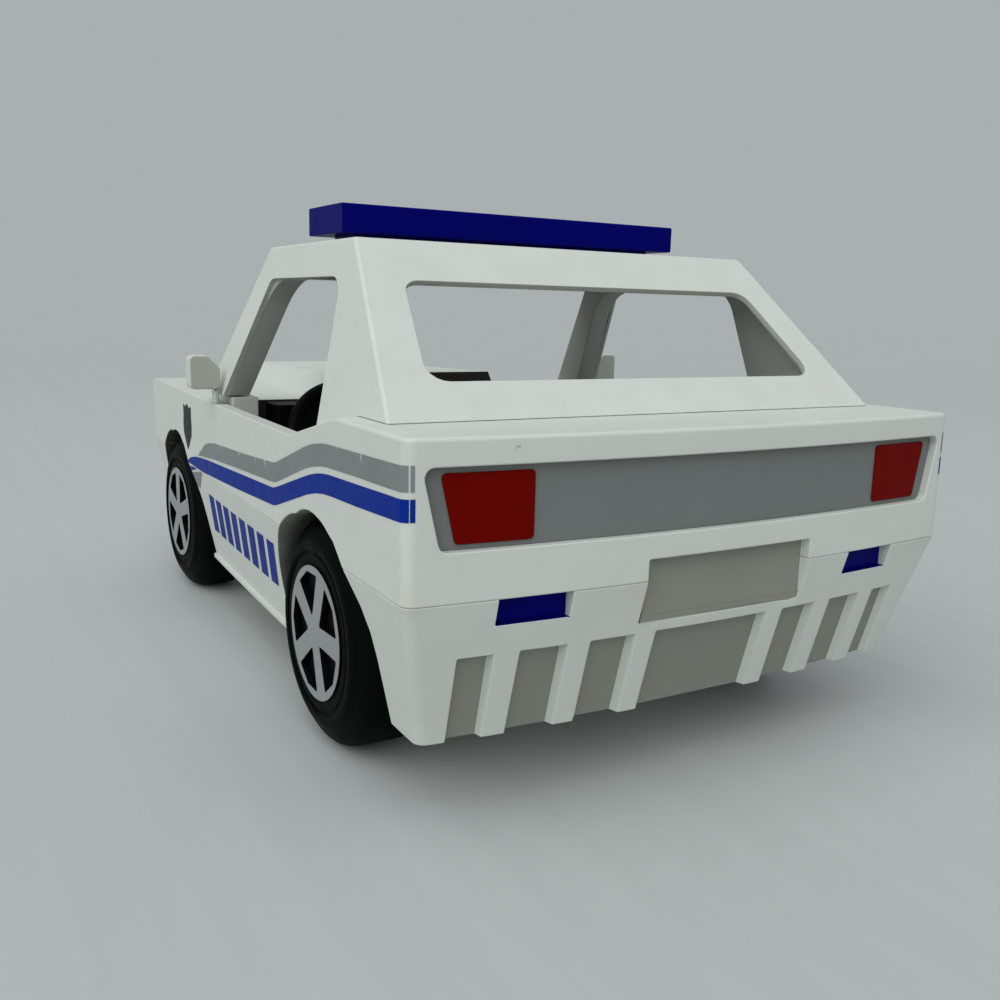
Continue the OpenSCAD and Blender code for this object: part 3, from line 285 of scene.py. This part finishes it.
def clean_copy(node, name):
    """Mesh of a CAD node with its flat faces joined."""
    me = NODES[node].data.copy()
    me.name = name
    me.materials.clear()
    bm = bmesh.new()
    bm.from_mesh(me)
    bmesh.ops.remove_doubles(bm, verts=bm.verts, dist=WELD)
    bm.normal_update()
    keep = holed_edges(bm, FLAT)
    loose = [e for e in bm.edges if e not in keep]
    bmesh.ops.dissolve_limit(bm, angle_limit=FLAT, verts=bm.verts, edges=loose)
    bm.normal_update()
    return me, bm


def dress(node, body, material, width, segments=2, big=(), paint=None, others=(), move=None):
    """Stand-in for a CAD node: its solid with softened edges.

    width and big are in millimetres, big lists (edge test, width) of the rounder edges. paint(bm) gives a
    function that picks a face's material, 0 or a place in others. move(bm) shifts points before the edges
    are softened.
    """
    me, bm = clean_copy(node, node + "_look")
    if paint:
        pick = paint(bm)
        for f in bm.faces:
            f.material_index = pick(f)
    if move:
        move(bm)
    for test, size in big:
        edges = [e for e in bm.edges if len(e.link_faces) == 2 and test(e)]
        if edges:
            bmesh.ops.bevel(bm, geom=edges, offset=size*MM, segments=BIG_SEGMENTS, profile=0.5,
                            affect="EDGES", clamp_overlap=False, miter_outer="ARC")
    for f in bm.faces:
        f.smooth = True
    bm.to_mesh(me)
    bm.free()
    ob = bpy.data.objects.new(node + "_look", me)
    bpy.context.scene.collection.objects.link(ob)
    for m in (material, *others):
        me.materials.append(m)
    if width:
        b = ob.modifiers.new("edges", "BEVEL")
        b.width = width*MM
        b.segments = segments
        b.limit_method = "ANGLE"
        b.angle_limit = EDGE_ANGLE
        b.use_clamp_overlap = False
        b.miter_outer = "MITER_ARC"
        b.harden_normals = False
    w = ob.modifiers.new("normals", "WEIGHTED_NORMAL")
    w.keep_sharp = False
    w.weight = NORMAL_WEIGHT
    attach(ob, body)
    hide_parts(node)


def convex(e):
    return e.calc_face_angle_signed(0) > math.radians(20)


DECK_LOW = 0.0535
DECK_SIDE_X = 0.043
DECK_REAR_Y = 0.086


def deck_rim(e):
    """Outer rim of the rear deck."""
    if not convex(e) or min(v.co.z for v in e.verts) <= DECK_LOW:
        return False
    a, b = e.link_faces
    top, side = (a, b) if a.normal.z > b.normal.z else (b, a)
    if top.normal.z < 0.8 or abs(side.normal.z) > 0.4:
        return False
    mid = (e.verts[0].co + e.verts[1].co)/2
    outward = side.normal.x*mid.x + side.normal.y*mid.y >= 0
    return outward and (abs(mid.x) > DECK_SIDE_X or mid.y > DECK_REAR_Y)


LONG_EDGE = 0.012


def outer_faces(bm, reach=1e-4):
    """Faces with the whole solid behind them."""
    pts = [v.co.copy() for v in bm.verts]
    return {f for f in bm.faces
            if max(f.normal.dot(p - f.verts[0].co) for p in pts) < reach and f.normal.z > -0.5}


def outer_edge(e):
    """Long edges between two outer faces of the cabin."""
    return convex(e) and e.calc_length() > LONG_EDGE and all(f.material_index == 0 for f in e.link_faces)


def paint_cabin(bm):
    """Painted shade on all but the outer faces of the cabin."""
    out = outer_faces(bm)
    return lambda f: 0 if f in out else 1


FOOT_FRONT_Y = 0.050
FOOT_LOW, FOOT_HIGH = 0.0535, 0.0560
FOOT_DROP = 0.00024


def seat_cabin(bm):
    """Lets the rear foot of the cabin down until it all but rests on the deck."""
    low = {v for f in bm.faces if f.normal.z < UNDERSIDE for v in f.verts
           if v.co.y > FOOT_FRONT_Y and FOOT_LOW < v.co.z < FOOT_HIGH}
    for v in low:
        v.co.z -= FOOT_DROP


WELL_R = 0.0275
WELL_FROM_X = 0.024
WELL_WALL_X = 0.035
WELL_FACING = 0.012


def in_arch(f, c):
    """Faces of the wheel wells, which look towards the axle or outward behind the wheel; they get painted
    shade.
    """
    for y, z in AXLES:
        dy, dz = y*MM - c.y, z*MM - c.z
        if abs(c.x) < WELL_FROM_X or math.hypot(dy, dz) > WELL_R:
            continue
        if abs(f.normal.x) < 0.5 and f.normal.y*dy + f.normal.z*dz > WELL_FACING:
            return True
        if f.normal.x*c.x > 0 and abs(f.normal.x) > 0.9 and abs(c.x) < WELL_WALL_X:
            return True
    return False


PLATE_HALF_X = 0.018
PLATE_NEAR = 2e-4


def on_plate(f, c):
    """Faces of the floor of the plate pocket, which get painted shade."""
    return f.normal.y > 0.99 and abs(c.x) < PLATE_HALF_X and abs(c.y - PLATE_Y*MM) < PLATE_NEAR


PAD_FRONT_Y, PAD_REAR_Y, PAD_Z = -0.0056, -0.0030, 0.0490
COWL_FRONT_Y, COWL_REAR_Y, COWL_X, COWL_Z = -0.016, -0.010, 0.042, 0.040


def paint_body(bm):
    """Painted shade on the plate pocket, the rear faces of the belt pads, the rear face of the cowl and the
    wheel wells.
    """
    def pick(f):
        c = f.calc_center_median()
        back = f.normal.y > 0.9
        # Painted shade on the plate pocket floor and the rear faces of the belt pads
        if on_plate(f, c) or (back and PAD_FRONT_Y < c.y < PAD_REAR_Y and c.z > PAD_Z):
            return 1
        # Painted shade on the rear face of the cowl
        if back and COWL_FRONT_Y < c.y < COWL_REAR_Y and abs(c.x) < COWL_X and c.z > COWL_Z:
            return 2
        # Painted shade in the wheel wells
        return 3 if in_arch(f, c) else 0
    return pick


FIN_X = 0.042
FIN_Y = 0.07
FIN_DEEP = 0.0011
LEDGE_NEAR = 0.001


def rear_face(x, z):
    """Place of the outer rear face of the lower body, in metres."""
    x, z = x/MM, z/MM
    return (HALF_LEN - REAR_BOW*(x/HALF_WIDTH)**2 - REAR_LEAN*max(0, SEAM_Z - z))*MM


def paint_chassis(bm):
    """Painted shade on the floors of the fin gaps and of the plate pocket and in the wheel wells; blue paint
    on the ledge under the reflectors.
    """
    lo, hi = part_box("rear_reflector_left")

    def pick(f):
        c = f.calc_center_median()
        # Painted shade in the wheel wells
        if in_arch(f, c):
            return 3
        level = c.y > lo[1] - LEDGE_NEAR and abs(c.z - lo[2]) < LEDGE_NEAR
        if f.normal.z > 0.5 and level and lo[0] < abs(c.x) < hi[0]:
            return 2
        if f.normal.y < 0.8 or abs(c.x) > FIN_X or c.y < FIN_Y:
            return 0
        # Painted shade on the recessed floors of the fin gaps and the plate pocket
        return 1 if on_plate(f, c) or rear_face(c.x, c.z) - c.y > FIN_DEEP else 0
    return pick


def paint_mirror(bm):
    """Painted shade on the rear faces of a mirror."""
    return lambda f: 1 if f.normal.y > 0.9 else 0


def paint_cap(bm):
    """Walls of the holes in a wheel cap."""
    return lambda f: 1 if abs(f.normal.x) < 0.6 else 0


FIN_EDGE_IN, FIN_EDGE_OUT = 0.030, 0.034
FIN_EDGE_Y = 0.082
FIN_TOP_Z = 0.0265
FIN_WELD = 2e-4


def weld_fins(bm):
    """Joins points where a facet of the rear face almost meets the edge of a fin."""
    near = [v for v in bm.verts if v.co.y > FIN_EDGE_Y and v.co.z < FIN_TOP_Z
            and FIN_EDGE_IN < abs(v.co.x) < FIN_EDGE_OUT]
    bmesh.ops.remove_doubles(bm, verts=near, dist=FIN_WELD)


dress("body_shell", "car_body", WHITE, 0.25, big=((deck_rim, 0.6),),
      paint=paint_body, others=(SHADED, COWL_SHADE, ARCH_SHADE))
dress("chassis", "car_body", WHITE, 0.18, paint=paint_chassis,
      others=(SHADED, BLUE, ARCH_SHADE), move=weld_fins)
dress("cabin", "cabin", WHITE, 0.15, big=((outer_edge, 0.5),), paint=paint_cabin,
      others=(INSIDE_SHADE,), move=seat_cabin)
for side in ("left", "right"):
    dress("mirror_" + side, "car_body", WHITE, 0.35, paint=paint_mirror,
          others=(MIRROR_SHADE,))
    dress("tail_lamp_" + side, "car_body", RED, 0.15)
    dress("rear_reflector_" + side, "car_body", BLUE, 0.1)
    dress("headlamp_" + side, "car_body", LAMP, 0.15)
    dress("seat_" + side, "car_body", SEAT, 0.6, 3)
    for end in ("front", "rear"):
        body = end + "_wheelset"
        tail = end + "_" + side
        dress("tyre_" + tail, body, TYRE, 0)
        dress("hub_" + tail, body, BLACK, 0.2)
        dress("hubcap_" + tail, body, SILVER, 0.12, paint=paint_cap,
              others=(BLACK,))
dress("light_bar", "cabin", BLUE, 0.12)
dress("rear_panel", "car_body", GREY, 0.06)
dress("grille_panel", "car_body", BLACK, 0.06)
for name in ("interior_tub", "dashboard", "steering_column"):
    dress(name, "car_body", BLACK, 0.25)
dress("steering_wheel", "steering", BLACK, 0.2)


DISH_STEPS = 64
DISH_TILT = math.radians(-65)
DISH_PROFILE = ((2.7, 0.4), (6, 0.2), (10, -0.1), (11.6, 0), (11.6, -0.4), (10, -0.5), (6, -0.2), (2.7, 0))


def steering_dish():
    """Thin dished plate between the spokes of the steering wheel."""
    bm = bmesh.new()
    n = DISH_STEPS
    turns = [2*math.pi*k/n for k in range(n)]
    rows = [[bm.verts.new((r*math.cos(a)*MM, r*math.sin(a)*MM, h*MM)) for a in turns]
            for r, h in DISH_PROFILE]
    for a, b in zip(rows, rows[1:] + rows[:1]):
        for k in range(n):
            bm.faces.new((a[k], b[k], b[(k + 1) % n], a[(k + 1) % n]))
    bmesh.ops.recalc_face_normals(bm, faces=bm.faces)
    lo, hi = (Vector(v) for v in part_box("steering_wheel"))
    bm.transform(Matrix.Translation((lo + hi)/2) @ Matrix.Rotation(DISH_TILT, 4, "X"))
    me = bpy.data.meshes.new("steering_dish")
    bm.to_mesh(me)
    bm.free()
    for f in me.polygons:
        f.use_smooth = True
    ob = bpy.data.objects.new("steering_dish", me)
    bpy.context.scene.collection.objects.link(ob)
    me.materials.append(BLACK)
    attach(ob, "steering")


steering_dish()
dress("chassis_screws", "car_body", STEEL, 0.15)
for end in ("front", "rear"):
    dress(end + "_axle", end + "_wheelset", STEEL, 0.15)


# Printed stripes, bars and shields on the body sides


STRIPE_STEPS = 110
CORNER_STEPS = 16
STRIPE_ROWS = 6
CORNER_END = math.radians(84)
BEND_SOFT = 0.5


def half_w(y):
    """Half width of the body at y."""
    s = (HALF_LEN - y)/(2*HALF_LEN)
    return HALF_WIDTH - 5*s - 3.2*s**3


def side_point(y, z, flip):
    """Point a hair outside of the body side; past the rear corner it follows the corner arc."""
    if y > CORNER_Y:
        a = min((y - CORNER_Y)/CORNER_R, CORNER_END)
        x = half_w(CORNER_Y) - CORNER_R + (CORNER_R + LIFT)*math.cos(a)
        y = CORNER_Y + (CORNER_R + LIFT)*math.sin(a)
    else:
        x = half_w(y) - SIDE_LEAN*max(0, SEAM_Z - z) + LIFT
    return Vector((-x if flip else x, y, z))


def follow(pts, y):
    """Height of a polyline at y, with its bends softened."""
    def at(v):
        if v <= pts[0][0]:
            (a, b), (c, d) = pts[0], pts[1]
        elif v >= pts[-1][0]:
            (a, b), (c, d) = pts[-2], pts[-1]
        else:
            k = next(i for i in range(len(pts) - 1) if pts[i + 1][0] >= v)
            (a, b), (c, d) = pts[k], pts[k + 1]
        return b + (d - b)*(v - a)/(c - a)
    return sum(at(y + BEND_SOFT*(k/4 - 1)) for k in range(9))/9


def decal(name, faces_pts, material, edge=None):
    """Thin sheet of print, or of painted shade for the plate pocket; faces_pts is a list of faces, each a
    list of points in millimetres.
    """
    bm = bmesh.new()
    for f in faces_pts:
        bm.faces.new([bm.verts.new(Vector(p)*MM) for p in f])
    bmesh.ops.remove_doubles(bm, verts=bm.verts, dist=1e-6)
    bmesh.ops.recalc_face_normals(bm, faces=bm.faces)
    me = bpy.data.meshes.new(name)
    bm.to_mesh(me)
    bm.free()
    for p in me.polygons:
        p.use_smooth = True
    if edge:
        at = me.attributes.new("edge", "FLOAT", "POINT")
        for v, d in zip(me.vertices, at.data):
            d.value = edge(v.co/MM)
    ob = bpy.data.objects.new(name, me)
    bpy.context.scene.collection.objects.link(ob)
    me.materials.append(material)
    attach(ob, "car_body")


def steps(a, b, count):
    return [a + (b - a)*i/count for i in range(count + 1)]


def stripe(y0, y1, upper, lower, flip):
    """Faces of a stripe between two polylines, in finer steps where it bends round the rear corner."""
    ys = steps(y0, min(y1, CORNER_Y), STRIPE_STEPS) if y0 < CORNER_Y else []
    if y1 > CORNER_Y:
        turn = steps(max(y0, CORNER_Y), y1, CORNER_STEPS)
        ys += turn[1:] if ys else turn

    def point(y, j):
        lo, hi = follow(lower, y), follow(upper, y)
        return side_point(y, lo + (hi - lo)*j/STRIPE_ROWS, flip)
    return [[point(a, j), point(b, j), point(b, j + 1), point(a, j + 1)]
            for a, b in zip(ys, ys[1:]) for j in range(STRIPE_ROWS)]


def patch(pts, flip):
    return [[side_point(y, z, flip) for y, z in pts]]


# Upper and lower edges of the stripes, places along the car and heights in millimetres

BLUE_UP = [(-34.6, 33.72), (-33.2, 34.4), (-30.5, 35.2), (-26, 35.93), (-20, 36.55), (-12, 37.1),
           (14.6, 38.48), (36, 39.5), (38.3, 40.07), (54.2, 44.47), (57.1, 45.15), (60, 45.65),
           (63.4, 46.0), (74.1, 46.43), (85, 46.9), (93, 47.2)]
BLUE_LOW = [(-34.6, 33.66), (-23.7, 33.69), (-17.1, 33.8), (10.8, 35.14), (36.3, 36.57), (38.1, 37.0),
            (54.1, 41.55), (57.8, 42.36), (61.3, 42.85), (64.7, 43.07),
            (74.1, 43.43), (85, 43.98), (93, 44.4)]
GREY_UP = [(-22.4, 36.8), (-16.3, 39.56), (-14.2, 40.3), (-12.3, 40.66), (-6.3, 41.4), (17.3, 42.6),
           (36.7, 43.78), (38.5, 44.24), (52.8, 48.55), (56.5, 49.45), (60.1, 50.0),
           (62.9, 50.24), (74.1, 50.63), (84.9, 50.97), (93, 51.25)]
GREY_LOW = [(-22.4, 36.74), (-12, 37.6), (-6.7, 38.07), (17, 39.44), (36.5, 40.52), (38.4, 41.0),
            (52.7, 45.27), (56.4, 46.1), (60, 46.68), (62.8, 46.95), (74.1, 47.41), (85, 47.73), (93, 48.05)]
BLUE_CURL = [(-33.6, 32.75), (-32.6, 31.9), (-30.6, 32.2), (-26.3, 33.05), (-24.6, 33.5), (-29, 33.3)]
GREY_TAIL = [(-31.7, 31.6), (-24.5, 32.75), (-19.3, 33.5), (-22.2, 31.6), (-26.5, 28.7), (-29, 28.9),
             (-29.9, 29.8)]


def top_edge(upper, lower):
    """Share of the way from the lower to the upper edge of a stripe."""
    def f(p):
        lo, hi = follow(lower, p.y), follow(upper, p.y)
        return max(0, min(1, (p.z - lo)/(hi - lo)))
    return f


BAR_COUNT = 8
BAR_FRONT, BAR_REAR = -18.6, 33.0
BAR_LOW, BAR_HIGH = 20.3, 29.0
BAR_SLANT = -3.6
BAR_SHARE = 0.68


def bars(flip):
    """Row of slanted blue bars on the lower door."""
    faces = []
    pitch = (BAR_REAR - BAR_FRONT)/BAR_COUNT
    w = pitch*BAR_SHARE
    for k in range(BAR_COUNT):
        a = BAR_FRONT + pitch*(k + (1 - BAR_SHARE)/2)
        low = [(a + BAR_SLANT, BAR_LOW), (a + w + BAR_SLANT, BAR_LOW)]
        faces += patch(low + [(a + w, BAR_HIGH), (a, BAR_HIGH)], flip)
    return faces


SHIELD_Y, SHIELD_Z = -33.6, 41.9
SHIELD_HALF_W = 4.6
SHIELD_HALF = [(0, 4.9), (0.45, 4.1), (0.95, 4.6), (0.9, 2.2), (1.0, 0), (0.92, -1.9), (0.5, -3.6),
               (0.1, -5.2), (0, -5.3)]


def shield(flip):
    """Plain shield without any mark."""
    turns = ((1, SHIELD_HALF), (-1, SHIELD_HALF[::-1][1:-1]))
    return patch([(SHIELD_Y + s*u*SHIELD_HALF_W, SHIELD_Z + z) for s, order in turns for u, z in order], flip)


PLATE_LOW = 28.2
PLATE_MARGIN = 0.15
PLATE_R = 0.4


def plate():
    """Sheet of painted shade on the floor of the rear plate pocket, with softly rounded corners."""
    spots = []
    for node in ("body_shell", "chassis"):
        me = NODES[node].data
        for f in me.polygons:
            if on_plate(f, f.center):
                spots += [me.vertices[v].co for v in f.vertices]
    x = max(p.x for p in spots)/MM - PLATE_MARGIN - PLATE_R
    low = PLATE_LOW + PLATE_R
    high = max(p.z for p in spots)/MM - PLATE_MARGIN - PLATE_R
    pts = []
    for cx, cz, start in ((x, low, -90), (x, high, 0), (-x, high, 90), (-x, low, 180)):
        for k in range(7):
            a = math.radians(start + 15*k)
            pts.append((cx + PLATE_R*math.cos(a), PLATE_Y + LIFT, cz + PLATE_R*math.sin(a)))
    return [pts]


# Places along the car where the stripes start, break at the corner and end

BLUE_ENDS = ((-34.6, 90.15), (90.27, 90.9))
GREY_ENDS = ((-22.4, 90.05), (90.3, 90.8))

# Painted shade: a darker sheet over the floor of the plate pocket
decal("rear_plate_shade", plate(), SHADED)
for side, flip in (("left", False), ("right", True)):
    blue_faces, grey_faces = patch(BLUE_CURL, flip), patch(GREY_TAIL, flip)
    for start, end in BLUE_ENDS:
        blue_faces += stripe(start, end, BLUE_UP, BLUE_LOW, flip)
    for start, end in GREY_ENDS:
        grey_faces += stripe(start, end, GREY_UP, GREY_LOW, flip)
    decal("stripe_blue_" + side, blue_faces, PRINT_BLUE)
    decal("stripe_grey_" + side, grey_faces, PRINT_GREY, top_edge(GREY_UP, GREY_LOW))
    decal("door_bars_" + side, bars(flip), PRINT_BLUE)
    decal("shield_" + side, shield(flip), PRINT_DARK)


# Stage, light and camera


def paper(name, near, far, stretch):
    """Pale floor sheet with faint streaks and a painted pool of light, a little lighter around the car."""
    m, t, p = new_material(name)
    co = t.nodes.new("ShaderNodeTexCoord").outputs["Object"]
    away = t.nodes.new("ShaderNodeVectorMath")
    away.operation = "LENGTH"
    t.links.new(co, away.inputs[0])
    base = ramp(t, away.outputs["Value"], [(0.12, near), (0.75, far)])
    streak = ramp(t, noise(t, co, 60, 2, 0.5, stretch), [(0.35, grey(0.97)), (0.65, grey(1))])
    t.links.new(mix(t, 1.0, base, streak, "MULTIPLY"), p.inputs["Base Color"])
    p.inputs["Roughness"].default_value = 0.55
    p.inputs["Specular IOR Level"].default_value = 0.3
    return m


# Painted light: floor tone lit around the car and dimmer further out
FLOOR_POOL_LIT = (0.52, 0.525, 0.52)
FLOOR_POOL_EDGE = (0.475, 0.478, 0.472)
STREAKS = (3, 0.05, 1)
LIGHT_WAY = Vector((-0.52, -0.36, -0.77))

bpy.ops.mesh.primitive_circle_add(vertices=96, radius=6, fill_type="NGON")
floor = bpy.context.object
floor.name = "floor"
floor.data.materials.append(paper("floor_paper", FLOOR_POOL_LIT, FLOOR_POOL_EDGE, STREAKS))

sun = bpy.data.lights.new("soft_light", "SUN")
sun.energy = 1.95
sun.angle = math.radians(75)
sun.color = (0.93, 1, 0.99)
lamp = bpy.data.objects.new("soft_light", sun)
bpy.context.scene.collection.objects.link(lamp)
lamp.rotation_euler = LIGHT_WAY.to_track_quat("-Z", "Y").to_euler()

world = bpy.data.worlds.new("studio")
bpy.context.scene.world = world
world.use_nodes = True
bg = world.node_tree.nodes["Background"]
bg.inputs["Color"].default_value = (0.40, 0.43, 0.435, 1)
bg.inputs["Strength"].default_value = 1

# Camera fitted to the photo

YAW, PITCH, ROLL = (math.radians(v) for v in (-30.588, -10.798, 1.4626))
EYE = Vector((0.099364, 0.196652, 0.069768))
SENSOR = 36
FOCAL_SHARE = 1.011563

ahead = Vector((math.sin(YAW)*math.cos(PITCH), -math.cos(YAW)*math.cos(PITCH), math.sin(PITCH)))
level = ahead.cross(Vector((0, 0, 1))).normalized()
upright = level.cross(ahead)
right = math.cos(ROLL)*level + math.sin(ROLL)*upright
up = -math.sin(ROLL)*level + math.cos(ROLL)*upright
cam = bpy.data.cameras.new("camera")
cam.sensor_fit = "HORIZONTAL"
cam.sensor_width = SENSOR
cam.lens = SENSOR*FOCAL_SHARE
cam.clip_start = 0.01
eye = bpy.data.objects.new("camera", cam)
bpy.context.scene.collection.objects.link(eye)
eye.matrix_world = Matrix(((right.x, up.x, -ahead.x, EYE.x), (right.y, up.y, -ahead.y, EYE.y),
                           (right.z, up.z, -ahead.z, EYE.z), (0, 0, 0, 1)))
bpy.context.scene.camera = eye
bpy.context.scene.view_settings.view_transform = "Standard"
